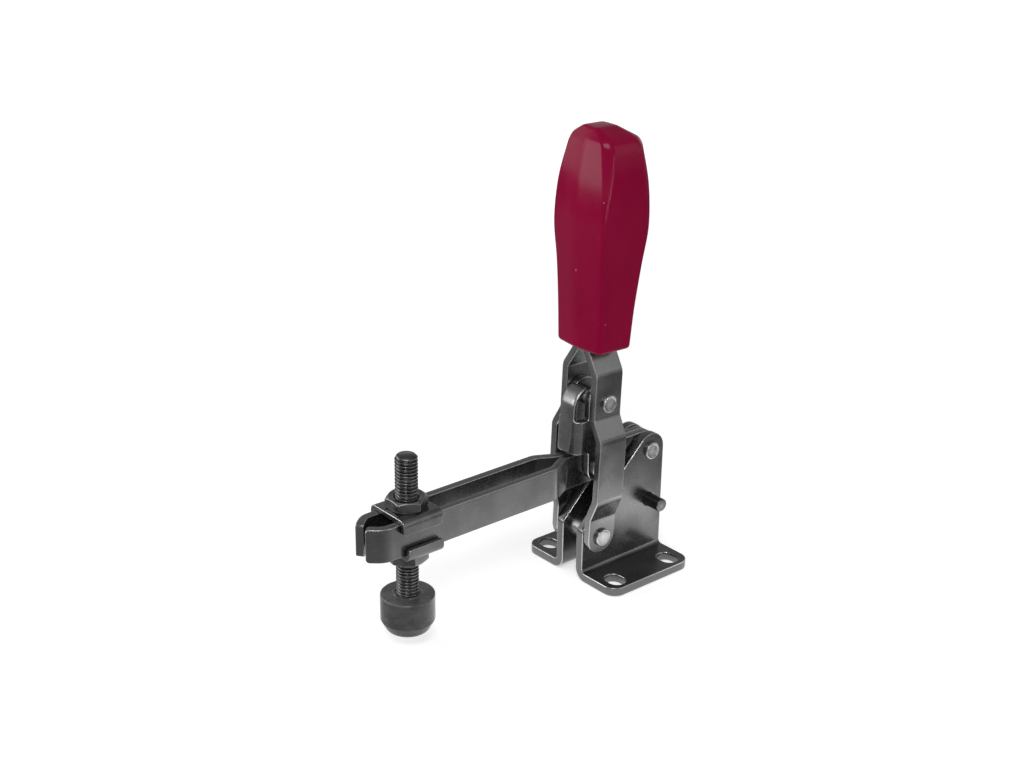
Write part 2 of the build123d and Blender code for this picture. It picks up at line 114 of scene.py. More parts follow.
def grid_faces(rows, columns, close_rows=False):
    """Quads of a grid whose columns wrap round: corner (i, j), (i, j+1), (i+1, j+1), (i+1, j)."""
    i = np.arange(rows if close_rows else rows - 1)[:, None]
    j = np.arange(columns)[None, :]
    below, beside = (i + 1) % rows, (j + 1) % columns
    quads = np.stack([i * columns + j, i * columns + beside,
                      below * columns + beside, below * columns + j], -1)
    return quads.reshape(-1, 4).tolist()


def lean(points, pivot):
    """Turn points drawn upright by the lean about X: y' = y cos + z sin, z' = z cos - y sin."""
    x, y, z = np.asarray(points, float).T
    return np.stack([x, y * math.cos(LEAN) + z * math.sin(LEAN),
                     z * math.cos(LEAN) - y * math.sin(LEAN)], 1) + pivot


# %% [markdown]
# ## Outlines with rounded corners
# A punched outline is straight lines joined by arcs. Giving each corner a radius and letting
# numpy work out all the arcs at once keeps the drawing short, and the same helper later draws
# turned profiles and the hexagon of a nut.

# %% Round the corners of an outline


def rounded(corners, radii, steps=6, close=True, hold=0.0):
    """Each corner becomes an arc that touches both sides at radius * tan(turn / 2).

    The arc's points are the slerp of its two end directions about its centre. hold adds a
    point that far outside each end of the arc, so that shading stays flat on the straights.
    """
    corners = np.asarray(corners, float)
    radii = np.broadcast_to(np.asarray(radii, float), len(corners))
    back = np.roll(corners, 1, 0) - corners
    ahead = np.roll(corners, -1, 0) - corners
    back /= np.linalg.norm(back, axis=1, keepdims=True)
    ahead /= np.linalg.norm(ahead, axis=1, keepdims=True)
    turn = np.pi - np.arccos(np.clip((back * ahead).sum(1), -1, 1))
    reach = radii * np.tan(turn / 2)
    middle = back + ahead
    middle /= np.linalg.norm(middle, axis=1, keepdims=True)
    centre = corners + middle * (radii / np.cos(turn / 2))[:, None]
    first = corners + back * reach[:, None] - centre
    last = corners + ahead * reach[:, None] - centre
    share = np.linspace(0, 1, steps + 1)[None, :, None]
    angle = turn[:, None, None]
    arcs = centre[:, None] + (np.sin((1 - share) * angle) * first[:, None]
                              + np.sin(share * angle) * last[:, None]) / np.sin(angle)
    if hold:
        arcs = np.concatenate([arcs[:, :1] + back[:, None] * hold, arcs,
                               arcs[:, -1:] + ahead[:, None] * hold], 1)
    if not close:
        arcs = np.concatenate([corners[None, :1], arcs[1:-1].reshape(1, -1, 2),
                               corners[None, -1:]], 1)
    return arcs.reshape(-1, 2)


def circle(centre, radius, around=48):
    """Points centre + radius * (cos t, sin t)."""
    t = np.linspace(0, 2 * np.pi, around, endpoint=False)
    return np.asarray(centre) + radius * np.stack([np.cos(t), np.sin(t)], 1)


# %% [markdown]
# ## Stamped and bent sheet
# The base, arm, handle, link and washers are all blanks punched from strip and then bent. They
# could be modelled by beveling a box, but doing what the press does is simpler and gives true
# bends: lay out the flat blank with softly rolled edges, score it across wherever it will
# curve, then wrap it round a bend line. Two marks are kept for the finish: "rim" is the rolled
# edge, where the black wears through and where a highlight is painted, and "cut" is the sheared
# side of the sheet.

# %% Lay out a flat blank

ROLL = np.radians([0, 30, 60, 90])
EDGE = 0.4


def blank(outline, holes, thickness, edge=EDGE, hold=0.15):
    """Closed flat sheet: each loop moves in by edge * (1 - cos t) as it rises by edge * sin t."""
    loops = []
    for number, loop in enumerate([outline] + list(holes)):
        area = 0.5 * np.sum(loop[:, 0] * np.roll(loop[:, 1], -1)
                            - loop[:, 1] * np.roll(loop[:, 0], -1))
        loops.append(loop if (area > 0) == (number == 0) else loop[::-1])
    half = thickness / 2
    inset = np.concatenate([edge * (1 - np.cos(ROLL)), [edge + hold]])
    height = np.concatenate([half - edge + edge * np.sin(ROLL), [half]])
    inset = np.concatenate([inset[::-1], inset])
    height = np.concatenate([-height[::-1], height])
    points, faces, start, tops, bottoms = [], [], 0, [], []
    for loop in loops:
        step = np.roll(loop, -1, 0) - loop
        step /= np.linalg.norm(step, axis=1, keepdims=True)
        inward = np.stack([-step[:, 1], step[:, 0]], 1)
        before = np.roll(inward, 1, 0)
        miter = (inward + before) / (1 + (inward * before).sum(1))[:, None]
        flat = loop[None] + inset[:, None, None] * miter[None]
        level = np.broadcast_to(height[:, None, None], flat.shape[:2] + (1,))
        points.append(np.concatenate([flat, level], 2).reshape(-1, 3))
        faces += (np.array(grid_faces(len(inset), len(loop))) + start).tolist()
        bottoms.append(start + np.arange(len(loop)))
        tops.append(start + (len(inset) - 1) * len(loop) + np.arange(len(loop)))
        start += len(inset) * len(loop)
    points = np.concatenate(points)
    for rings in (tops, bottoms):
        order = np.concatenate(rings)
        filled = geometry.tessellate_polygon([points[ring].tolist() for ring in rings])
        faces += order[np.array(filled)].tolist()
    return points, faces


def scored(points, faces, cuts_u=(), cuts_v=()):
    """The blank with a line across it at each given u or v, so that it can curve there."""
    mesh = bpy.data.meshes.new("blank")
    mesh.from_pydata(points.tolist(), [], faces)
    bm = bmesh.new()
    bm.from_mesh(mesh)
    for cuts, normal in ((cuts_u, (1, 0, 0)), (cuts_v, (0, 1, 0))):
        for cut in cuts:
            bmesh.ops.bisect_plane(bm, geom=bm.verts[:] + bm.edges[:] + bm.faces[:], dist=1e-5,
                                   plane_co=(np.array(normal) * cut).tolist(), plane_no=normal)
    bm.to_mesh(mesh)
    bm.free()
    cut_points = np.zeros(len(mesh.vertices) * 3)
    mesh.vertices.foreach_get("co", cut_points)
    cut_faces = [list(face.vertices) for face in mesh.polygons]
    bpy.data.meshes.remove(mesh)
    return cut_points.reshape(-1, 3), cut_faces


def sheet_marks(level, thickness, edge=EDGE):
    """rim is 4 s (1 - s) up the rolled edge, and cut is 1 on the sheared side below it."""
    s = np.clip((np.abs(level) - (thickness / 2 - edge)) / edge, 0, 1)
    return {"rim": 4 * s * (1 - s), "cut": (s <= 0.01).astype(float)}


# %% [markdown]
# ## Bend lines
# A bend line is the middle of the sheet seen from its edge: straights joined by arcs. A point
# of the blank at distance s along it and height w above its middle goes to the line's point at
# s plus w times the line's normal there.

# %% Wrap a blank round a bend line


def bend_line(corners, radius, steps=7, hold=0.4):
    """Stations, points and headings of a line whose corners are arcs of one radius, and the
    stations to score: every step of each arc, and hold outside its two ends."""
    corners = np.asarray(corners, float)
    leg = np.diff(corners, axis=0)
    length = np.linalg.norm(leg, axis=1)
    heading = np.unwrap(np.arctan2(leg[:, 1], leg[:, 0]))
    turn = np.diff(heading)
    reach = radius * np.tan(np.abs(turn) / 2)
    share = np.linspace(0, 1, steps + 1)
    angle = heading[:-1, None] + turn[:, None] * share
    start = corners[1:-1] - leg[:-1] / length[:-1, None] * reach[:, None]
    side = np.sign(turn)[:, None]
    centre = start + side * radius * np.stack([-np.sin(heading[:-1]), np.cos(heading[:-1])], 1)
    arc = centre[:, None] + (side * radius)[:, None] * np.stack(
        [np.sin(angle), -np.cos(angle)], -1)
    straight = length.copy()
    straight[:-1] -= reach
    straight[1:] -= reach
    swept = radius * np.abs(turn)
    begin = np.cumsum(straight)[:-1] + np.concatenate([[0], np.cumsum(swept)[:-1]])
    station = begin[:, None] + swept[:, None] * share
    total = straight.sum() + swept.sum()
    s = np.concatenate([[0], station.ravel(), [total]])
    at = np.concatenate([corners[:1], arc.reshape(-1, 2), corners[-1:]])
    way = np.concatenate([heading[:1], angle.ravel(), heading[-1:]])
    cuts = np.concatenate([station.ravel(), begin - hold, begin + swept + hold])
    return {"s": s, "at": at, "way": way, "cuts": np.sort(cuts), "length": total}


def wrap(points, line):
    """(u, v, w) goes to line(u) + w * normal(u), with v kept as it is. Returns a, b, v."""
    u, v, w = points.T
    a = np.interp(u, line["s"], line["at"][:, 0])
    b = np.interp(u, line["s"], line["at"][:, 1])
    way = np.interp(u, line["s"], line["way"])
    return a - w * np.sin(way), b + w * np.cos(way), v


def sheet_pair(name, flat, faces, shaped, thickness, material, body):
    """The right-hand piece, and its mirror image with x negated."""
    for side, sign in (("right", 1), ("left", -1)):
        make_piece(f"{name}_{side}_shown", shaped * [sign, 1, 1], faces, material, body,
                   uv=flat[:, :2], marks=sheet_marks(flat[:, 2], thickness))


# %% [markdown]
# ## Finishes
# All the finishes are worked out by nodes from the piece's own coordinates and marks. A helper
# keeps them readable: it adds a node, fills in its plain values and wires the rest.

# %% Helper for node materials


class Finish:
    """A material under construction: its node tree and its Principled shader."""

    def __init__(self, name):
        self.material = bpy.data.materials.new(name)
        self.material.use_nodes = True
        self.tree = self.material.node_tree
        self.shader = self.tree.nodes["Principled BSDF"]

    def node(self, kind, values=None, **settings):
        """Add a node; values fill or wire its inputs, settings are its own options."""
        node = self.tree.nodes.new(kind)
        for key, value in settings.items():
            setattr(node, key, value)
        for key, value in (values or {}).items():
            self.set(node.inputs[key], value)
        return node

    def set(self, socket, value):
        if isinstance(value, bpy.types.NodeSocket):
            self.tree.links.new(value, socket)
        else:
            socket.default_value = value

    def noise(self, where, scale, detail=3.0, rough=0.55):
        return self.node("ShaderNodeTexNoise", {"Vector": where, "Scale": scale,
                                                "Detail": detail, "Roughness": rough}).outputs[0]

    def ramp(self, value, low, high, out_low=0.0, out_high=1.0):
        """Value between low and high becomes out_low to out_high, eased at both ends."""
        return self.node("ShaderNodeMapRange", {0: value, 1: low, 2: high, 3: out_low,
                                                4: out_high},
                         interpolation_type="SMOOTHSTEP").outputs[0]

    def maths(self, operation, a, b=0.0):
        return self.node("ShaderNodeMath", {0: a, 1: b}, operation=operation).outputs[0]

    def mix(self, share, a, b):
        """Colour a * (1 - share) + b * share."""
        return self.node("ShaderNodeMix", {"Factor": share, 6: a, 7: b},
                         data_type="RGBA").outputs[2]

    def stretched(self, where, scale):
        """The coordinates times a different scale on each axis, for a grain."""
        return self.node("ShaderNodeMapping", {"Vector": where, "Scale": scale}).outputs[0]

    def bump(self, heights):
        """Chain of bumps, from (height, strength, distance in metres) triples."""
        normal = None
        for height, strength, distance in heights:
            values = {"Height": height, "Strength": strength, "Distance": distance}
            if normal is not None:
                values["Normal"] = normal
            normal = self.node("ShaderNodeBump", values).outputs[0]
        self.set(self.shader.inputs["Normal"], normal)

    def where(self, kind="Object"):
        return self.node("ShaderNodeTexCoord").outputs[kind]

    def mark(self, label):
        return self.node("ShaderNodeAttribute", attribute_name=label).outputs["Fac"]


def grey(level):
    """A neutral colour of that linear level."""
    return (level, level, level * 1.01, 1.0)


# %% [markdown]
# ### Black-oxided steel
# Oxide blacking is a skin a micron thick: the steel under it still gives broad, satin
# reflections, darker where the bath was strong and greyer where edges rub. The rolled rim is
# painted lighter still, partly as that wear and partly as a painted highlight. The grain of the
# rolled strip runs along the flat blank, so it reads the blank's own UV map, and stays with the
# sheet round every bend.

# %% Black-oxided sheet


def black_sheet(name, dark, light, rim_wear_and_highlight_grey, roughness, seed):
    """Oxide colour from clouds of noise, lighter at the rim for wear and as a painted highlight,
    with rolled grain as bump.
    """
    f = Finish(name)
    where, flat = f.where(), f.where("UV")
    clouds = f.noise(where, 85.0 + seed, 4)
    grain = f.noise(f.stretched(flat, (260, 5200, 1)), 1.0, 2)
    shear = f.noise(f.stretched(flat, (2600, 2600, 1)), 1.0, 2)
    pits = f.noise(where, 2300.0, 2)
    tone = f.ramp(clouds, 0.34, 0.68)
    colour = f.mix(tone, grey(dark), grey(light))
    colour = f.mix(f.ramp(grain, 0.45, 0.8, 0.0, 0.22), colour, grey(light * 1.5))
    colour = f.mix(f.maths("MULTIPLY", f.mark("cut"), 0.7), colour, grey(light))
    # Rim painted lighter: partly edge wear, partly a painted highlight on the rolled edge.
    rim_wear_and_highlight = f.maths("MULTIPLY", f.mark("rim"), f.ramp(f.noise(where, 420.0, 3), 0.28, 0.62, 0.75))
    colour = f.mix(rim_wear_and_highlight, colour, grey(rim_wear_and_highlight_grey))
    specks = f.ramp(f.noise(where, 1500.0, 1), 0.74, 0.79, 0.0, 0.35)
    colour = f.mix(specks, colour, grey(dark * 0.4))
    f.set(f.shader.inputs["Base Color"], colour)
    f.set(f.shader.inputs["Metallic"], 0.9)
    f.set(f.shader.inputs["Roughness"], f.maths(
        "ADD", f.ramp(clouds, 0.3, 0.7, roughness - 0.05, roughness + 0.07),
        f.ramp(pits, 0.3, 0.7, -0.03, 0.03)))
    side = f.maths("MULTIPLY", f.mark("cut"), shear)
    f.bump([(pits, 0.12, 0.00006), (grain, 0.10, 0.00005), (side, 0.35, 0.0001)])
    return f.material


STRIP_STEEL = black_sheet("black_strip", 0.135, 0.185, 0.52, 0.25, 0)
ARM_STEEL = black_sheet("black_arm", 0.118, 0.162, 0.52, 0.25, 2)
LINK_STEEL = black_sheet("black_link", 0.150, 0.210, 0.60, 0.25, 4)
BASE_STEEL = black_sheet("black_base", 0.085, 0.120, 0.48, 0.25, 7)
WASHER_STEEL = black_sheet("black_washer", 0.120, 0.170, 0.48, 0.26, 13)

# %% [markdown]
# ### Turned steel, blacked and bright
# Rivets are left bright so that the closed head shows clean metal; nuts, pins and the spindle
# are blacked. None of them has the grain of rolled sheet, so their marks are small dents.

# %% Turned and headed steel


def turned_steel(name, dark, light, rim_wear_and_highlight_grey, roughness, dents, edges=0.6):
    """Colour from two sizes of noise, rims lighter for wear and as a painted highlight, dents as
    bump.
    """
    f = Finish(name)
    where = f.where()
    clouds = f.noise(where, 260.0, 3)
    fine = f.noise(where, 1900.0, 2)
    colour = f.mix(f.ramp(clouds, 0.32, 0.68), grey(dark), grey(light))
    colour = f.mix(f.ramp(fine, 0.55, 0.75, 0.0, 0.25), colour, grey(dark * 0.6))
    # Rims painted lighter: partly wear, partly a painted highlight.
    rim_wear_and_highlight = f.maths("MULTIPLY", f.mark("rim"), f.ramp(clouds, 0.25, 0.6, 0.4 * edges, edges))
    colour = f.mix(rim_wear_and_highlight, colour, grey(rim_wear_and_highlight_grey))
    f.set(f.shader.inputs["Base Color"], colour)
    f.set(f.shader.inputs["Metallic"], 0.95)
    f.set(f.shader.inputs["Roughness"], f.ramp(clouds, 0.3, 0.7, roughness - 0.06,
                                               roughness + 0.08))
    f.bump([(clouds, dents, 0.0003), (fine, 0.15, 0.00006)])
    return f.material


RIVET_STEEL = turned_steel("bright_rivet", 0.28, 0.44, 0.64, 0.32, 0.40)
BUSH_STEEL = turned_steel("bright_bush", 0.16, 0.26, 0.40, 0.30, 0.10)
NUT_STEEL = turned_steel("black_nut", 0.100, 0.160, 0.50, 0.28, 0.12)
THREAD_STEEL = turned_steel("black_thread", 0.070, 0.110, 0.40, 0.26, 0.05, 0.9)
PIN_STEEL = turned_steel("black_pin", 0.060, 0.090, 0.22, 0.36, 0.08)

# %% [markdown]
# ### Rubber and plastic
# The cap is dark grey rubber with a satin skin, dusty in smears, lighter on its top, and with
# a painted highlight on its rims. The grip is a glossy moulding in wine red. Gloss plastic is
# mostly its coat of reflection over an even colour, so the texture is only faint flow marks and
# a few dust specks.

# %% Rubber


def cap_rubber():
    """Dark grey from clouds of noise, a painted highlight on its rims, lighter on its top, with a
    fine pebble bump.
    """
    f = Finish("cap_rubber")
    where = f.where()
    smears = f.noise(f.stretched(where, (1, 1, 1.6)), 190.0, 4, 0.6)
    grit = f.noise(where, 2600.0, 2)
    colour = f.mix(f.ramp(smears, 0.35, 0.68), grey(0.040), grey(0.072))
    colour = f.mix(f.ramp(grit, 0.6, 0.8, 0.0, 0.3), colour, grey(0.16))
    # Rims painted lighter grey: a painted highlight.
    colour = f.mix(f.maths("MULTIPLY", f.mark("rim"), f.ramp(smears, 0.4, 0.6, 0.1, 0.5)),
                   colour, grey(0.22))
    # Lighter, mottled grey on the cap's top, chosen by height.
    height = f.node("ShaderNodeSeparateXYZ", {0: where}).outputs[2]
    top = f.ramp(height, (CAP_BOTTOM + 13.6) * MM, (CAP_BOTTOM + CAP_TOP) * MM)
    colour = f.mix(f.maths("MULTIPLY", top, f.ramp(smears, 0.3, 0.7, 0.35, 0.7)), colour,
                   grey(0.11))
    f.set(f.shader.inputs["Base Color"], colour)
    f.set(f.shader.inputs["Roughness"], f.ramp(smears, 0.3, 0.7, 0.22, 0.34))
    f.set(f.shader.inputs["Specular IOR Level"], 0.5)
    f.bump([(grit, 0.25, 0.00008), (smears, 0.1, 0.0003)])
    return f.material


RUBBER = cap_rubber()

# %% Grip plastic


def grip_plastic():
    """Even wine red, a little deeper in slow clouds, with pale specks and a slight ripple."""
    f = Finish("grip_plastic")
    where = f.where()
    flow = f.noise(f.stretched(where, (1, 1, 0.35)), 70.0, 3)
    specks = f.node("ShaderNodeTexVoronoi", {"Vector": where, "Scale": 130.0}).outputs[0]
    colour = f.mix(f.ramp(flow, 0.3, 0.7), (0.245, 0.0010, 0.032, 1), (0.285, 0.0020, 0.040, 1))
    colour = f.mix(f.ramp(specks, 0.035, 0.055, 0.6, 0.0), colour, (0.55, 0.25, 0.32, 1))
    f.set(f.shader.inputs["Base Color"], colour)
    f.set(f.shader.inputs["Roughness"], f.ramp(flow, 0.3, 0.7, 0.15, 0.20))
    f.set(f.shader.inputs["IOR"], 1.5)
    f.set(f.shader.inputs["Specular IOR Level"], 0.1)
    f.bump([(flow, 0.05, 0.0008), (f.noise(where, 900.0, 2), 0.03, 0.0001)])
    return f.material


GRIP_PLASTIC = grip_plastic()
print("finishes", [m.name for m in bpy.data.materials])

# %% [markdown]
# ## Base
# Each half of the base is one punched sheet with the foot turned outwards. Its blank is the foot
# and the wall laid flat, one after the other: u runs in from the edge of the foot, through the
# bend and up the wall. The wall's top slopes up to the metal round the arm's pivot.

# %% Base brackets
WALL_X, FOOT_Z, BASE_BEND, BASE_END = 5.35, 1.75, 3.25, 20
SLOT_FROM_EDGE, SLOT_HALF_LONG, SLOT_HALF_WIDE, SLOT_Y = 6.2, 4.25, 3.4, 13.5
FOOT = BASE_HALF - (WALL_X + BASE_BEND)
BEND = BASE_BEND * math.pi / 2


def wall_u(height):
    """Distance on the blank of a height on the wall."""
    return FOOT + BEND + height - (FOOT_Z + BASE_BEND)


def slope_height(y):
    """Height of the wall's sloping top: a line 6.6 outside the line of the two pivots."""
    along = (ARM_PIVOT - HANDLE_PIVOT)[1:]
    along = along / np.linalg.norm(along)
    on = HANDLE_PIVOT[1:] + 6.6 * np.array([-along[1], along[0]])
    return on[1] + (y - on[0]) * along[1] / along[0]


outline = rounded([(0, -BASE_END), (wall_u(slope_height(-BASE_END)), -BASE_END),
                   (wall_u(slope_height(BASE_END)), BASE_END), (0, BASE_END)],
                  [5, 2.5, 6.6, 5], steps=10)
slots = [rounded([(SLOT_FROM_EDGE + a * SLOT_HALF_LONG, y + b * SLOT_HALF_WIDE)
                  for a, b in ((-1, -1), (1, -1), (1, 1), (-1, 1))],
                 3.36, steps=8) for y in (-SLOT_Y, SLOT_Y)]
pivots = [circle((wall_u(p[2]), p[1]), 2.5 + gap, 32)
          for p, gap in ((HANDLE_PIVOT, 0), (ARM_PIVOT, 0), (STOP_PIN_AT, 0.02))]
line = bend_line([(BASE_HALF, FOOT_Z), (WALL_X, FOOT_Z), (WALL_X, 60)], BASE_BEND, steps=10)
flat, faces = scored(*blank(outline, slots + pivots, BASE_SHEET), cuts_u=line["cuts"])
x, z, y = wrap(flat, line)
sheet_pair("base_bracket", flat, faces, np.stack([x, y, z], 1), BASE_SHEET, BASE_STEEL, "base")

# %% [markdown]
# ## Arm
# The arm is two flat bars, riveted face to face at the pivot and bent apart to make the slot that
# the spindle slides in. Their tips turn in to close it. The blank is a plain strip with one
# round end, wrapped round a line with three bends.

# %% Arm bars
closed_x, open_x, slot_end, tip_end, tip_gap = 1.55, 5.7, -33.4, -114.3, 1.1
half_sheet = BAR_SHEET / 2
spread_y = slot_end + (open_x - closed_x) / math.tan(math.radians(28))
turn_in = math.radians(40)
tip_x = tip_gap / 2 + half_sheet * math.cos(turn_in)
tip_y = tip_end + half_sheet * math.sin(turn_in)
turn_y = tip_y + (open_x - tip_x) / math.tan(turn_in)
rear_y = ARM_PIVOT[1] + ARM_HALF
line = bend_line([(closed_x, rear_y), (closed_x, spread_y), (open_x, slot_end),
                  (open_x, turn_y), (tip_x, tip_y)], 6.0)
outline = rounded([(0, -ARM_HALF), (line["length"], -ARM_HALF), (line["length"], ARM_HALF),
                   (0, ARM_HALF)], [6.20, 1.4, 1.4, 6.20], steps=10)
holes = [circle((rear_y - ARM_PIVOT[1], 0), 3.61, 32),
         circle((rear_y - ARM_RIVET[1], 0), 2.55, 32)]
flat, faces = scored(*blank(outline, holes, BAR_SHEET), cuts_u=line["cuts"])
x, y, z = wrap(flat, line)
sheet_pair("arm_bar", flat, faces, np.stack([x, y, z + ARM_PIVOT[2]], 1), BAR_SHEET,
           ARM_STEEL, "arm")

# %% [markdown]
# ## Handle strips
# Two joggled strips clear the link and the rivet heads, then close together inside the grip.
# The strip is drawn upright with height as its second direction, and then leaned.

# %% Handle strips
low, wide, high, tang, strip_top = 8.7, 11.9, 7.75, 1.55, 132.9
meet = HANDLE_REACH + 11.2 + (high - tang) / math.tan(math.radians(32))
line = bend_line([(low, -STRIP_HALF), (low, 8.0), (wide, 16.0), (wide, 39.5), (high, 46.9),
                  (high, 63.9), (tang, meet), (tang, strip_top)], 4.0)
grip_end = np.interp(strip_top, line["at"][:, 1], line["s"])
outline = rounded([(0, -STRIP_HALF), (grip_end, -STRIP_HALF), (grip_end, STRIP_HALF),
                   (0, STRIP_HALF)], [6.30, 2, 2, 6.30], steps=10)
holes = [circle((STRIP_HALF, 0), 2.55, 32),
         circle((np.interp(HANDLE_REACH, line["at"][:, 1], line["s"]), 0), 2.51, 32)]
flat, faces = scored(*blank(outline, holes, BAR_SHEET), cuts_u=line["cuts"])
x, z, y = wrap(flat, line)
sheet_pair("handle_side", flat, faces, lean(np.stack([x, y, z], 1), HANDLE_PIVOT), BAR_SHEET,
           STRIP_STEEL, "handle")

# %% [markdown]
# ## Link
# The link is the clever piece: one blank folded into two ears, with a tongue that curls back over
# the rivet where it meets the handle. It is bent twice. First the blank is
# wrapped round a U seen from above; then whatever stands above the web's tongue line is rolled
# about a cross axis: y' = centre - r cos t, z' = centre + r sin t, where t grows up the tongue.

# %% Toggle link
ear_back, ear_x, web_y = 7.0, 4.65, -10.2
line = bend_line([(ear_x, ear_back), (ear_x, web_y), (-ear_x, web_y), (-ear_x, ear_back)], 2.4,
                 steps=8)
middle = line["length"] / 2
top_round, low_round = 6.2, 4.9
tilt = (top_round - low_round) / LINK_REACH
cosine = math.sqrt(1 - tilt ** 2)


def ear_front(height):
    """y of the line that touches both rounds of the ear."""
    return -(low_round + tilt * height) / cosine


curl_y, curl_z, curl_r = -3.6, 24.3, 6.6
tongue_end = curl_z + curl_r * math.radians(74)
ear_top, shoulder, web_low, tongue_half = 32.5, 19.8, 7.0, 3.2
upper = [(-ear_front(ear_top), ear_top, 6.19), (ear_front(ear_top), ear_top, 6.19),
         (ear_front(shoulder), shoulder, 1.0)]
lower = [(ear_front(web_low), web_low, 1.0), (ear_front(-low_round), -low_round, 4.89),
         (-ear_front(-low_round), -low_round, 4.89)]
right_top = [(ear_back - y, z, r) for y, z, r in upper]
tongue = [(middle - tongue_half, shoulder, 0.9), (middle - tongue_half, tongue_end, 0.7),
          (middle + tongue_half, tongue_end, 0.7), (middle + tongue_half, shoulder, 0.9)]
left_top = [(2 * middle - u, z, r) for u, z, r in right_top[::-1]]
right_low = [(ear_back - y, z, r) for y, z, r in lower]
left_low = [(2 * middle - u, z, r) for u, z, r in right_low[::-1]]
corners = np.array(right_top + tongue + left_top + left_low + right_low)
outline = rounded(corners[:, :2], corners[:, 2], steps=8)
holes = [circle((u, h), r, 32) for h, r in ((0, 2.51), (LINK_REACH, 2.55))
         for u in (ear_back, 2 * middle - ear_back)]
curl_cuts = np.concatenate([[curl_z - 0.4], np.linspace(curl_z, tongue_end - 0.9, 10)])
flat, faces = scored(*blank(outline, holes, LINK_SHEET), cuts_u=line["cuts"], cuts_v=curl_cuts)
x, y, z = wrap(flat, line)
rolled = (z > curl_z) & (y < -7.5)
spin = np.where(rolled, (z - curl_z) / curl_r, 0)
reach = curl_y - y
y = np.where(rolled, curl_y - reach * np.cos(spin), y)
z = np.where(rolled, curl_z + reach * np.sin(spin), z)
make_piece("toggle_link_shown", lean(np.stack([x, y, z], 1), ARM_RIVET), faces, LINK_STEEL,
           "link", uv=flat[:, :2], marks=sheet_marks(flat[:, 2], LINK_SHEET))

# %% [markdown]
# ## Flanged washers
# A saddle of thin sheet sits over the arm and another under it. They bridge the slot, so that
# the nuts have a seat, and their flanges stand outside the bars. Each is a rectangle with a
# round hole and two short flanges.

# %% Flanged washers


def saddle(name, front, rear, flange, up):
    """Blank across the arm, flanges turned down, or up when up is -1."""
    half_sheet, roll = SADDLE_SHEET / 2, 0.25
    flange_x = 9.45 - half_sheet
    line = bend_line([(flange_x, -flange), (flange_x, -half_sheet), (-flange_x, -half_sheet),
                      (-flange_x, -flange)], 1.4, steps=6, hold=0.25)
    outline = rounded([(0, -front), (line["length"], -front), (line["length"], rear), (0, rear)],
                      1.2, steps=6)
    hole = circle((line["length"] / 2, 0), 4.2, 40)
    flat, faces = scored(*blank(outline, [hole], SADDLE_SHEET, edge=roll), cuts_u=line["cuts"])
    x, z, y = wrap(flat, line)
    base = ARM_TOP + SADDLE_SHEET if up == 1 else ARM_BOTTOM - SADDLE_SHEET
    make_piece(name, np.stack([x, y + SPINDLE_Y, base + up * z], 1), faces, WASHER_STEEL,
               "carriage", uv=flat[:, :2],
               marks=sheet_marks(flat[:, 2], SADDLE_SHEET, roll))


saddle("upper_flanged_washer_shown", 8.2, 8.2, 5.4, 1)
saddle("lower_flanged_washer_shown", 6.2, 8.7, 4.8, -1)

# %% [markdown]
# ## Turned pieces
# Anything off a lathe is one profile carried round an axis. The profile gets its own rounded
# corners first, and the mark "rim" is set where the profile is tightly curved, which is where a
# real edge catches the light and wears. The finishes paint it lighter, as wear and as a painted
# highlight.

# %% Carry a profile round an axis


def turned(name, corners, radii, origin, axis, material, body, around=72, tube=False,
           steps=5, wobble=None):
    """Point (r, h) of the profile goes to origin + h * axis + r * (cos t * side + sin t * up)."""
    profile = rounded(corners, radii, steps=steps, close=tube, hold=0.06)
    step = np.diff(np.vstack([profile, profile[:1]]), axis=0)
    way = np.unwrap(np.arctan2(step[:, 1], step[:, 0]))
    bend = np.abs(way - np.roll(way, 1)) % (2 * np.pi)
    rim = np.clip(np.minimum(bend, 2 * np.pi - bend) / 0.2, 0, 1)
    axis = np.asarray(axis, float)
    side = np.cross(axis, [0, 1, 0] if abs(axis[1]) < 0.9 else [1, 0, 0])
    side /= np.linalg.norm(side)
    t = np.linspace(0, 2 * np.pi, around, endpoint=False)[None, :, None]
    r, h = profile[:, 0, None, None], profile[:, 1, None, None]
    if wobble is not None:
        r, h = wobble(r, h, t)
    points = origin + h * axis + r * (np.cos(t) * side + np.sin(t) * np.cross(axis, side))
    rim = np.repeat(rim, around)
    return make_piece(name, points.reshape(-1, 3), grid_faces(len(profile), around, tube),
                      material, body, marks={"rim": rim})


def tube_profile(inner, outer, low, high):
    """The four corners of a tube's wall."""
    return [(inner, low), (outer, low), (outer, high), (inner, high)]


# %% [markdown]
# ### Rivets
# A rivet's formed head is a shallow dish with a raised rim, never quite round. A slow wave round
# the rim gives that.

# %% Rivets
ALONG_X = np.array([1.0, 0, 0])


def head_profile(shank_end, sign=1.0):
    """Half profile from the shank out to the middle of the dished head, at height shank_end."""
    rows = [(2.5, 0), (3.35, 0), (3.35, 1.3), (2.7, 1.3), (2.4, 1.05), (0, 1.05)]
    return [(r, sign * (shank_end + h)) for r, h in rows]


HEAD_RADII = [0.05, 0.12, 0.42, 0.25, 0.25, 0]


def uneven(amount, waves, phase):
    """Near the rim, with swell = amount * (sin(waves * t + phase) + half of sin(2 * waves * t +
    1)), the radius is times 1 - |swell| / 9 and the height drops by half of |swell|."""
    def change(r, h, t):
        share = np.clip((np.abs(r) - 2.0) / 1.35, 0, 1)
        swell = amount * share * (np.sin(waves * t + phase) + 0.5 * np.sin(2 * waves * t + 1))
        return r * (1 - np.abs(swell) / 9), h - np.sign(h) * np.abs(swell) * 0.5
    return change


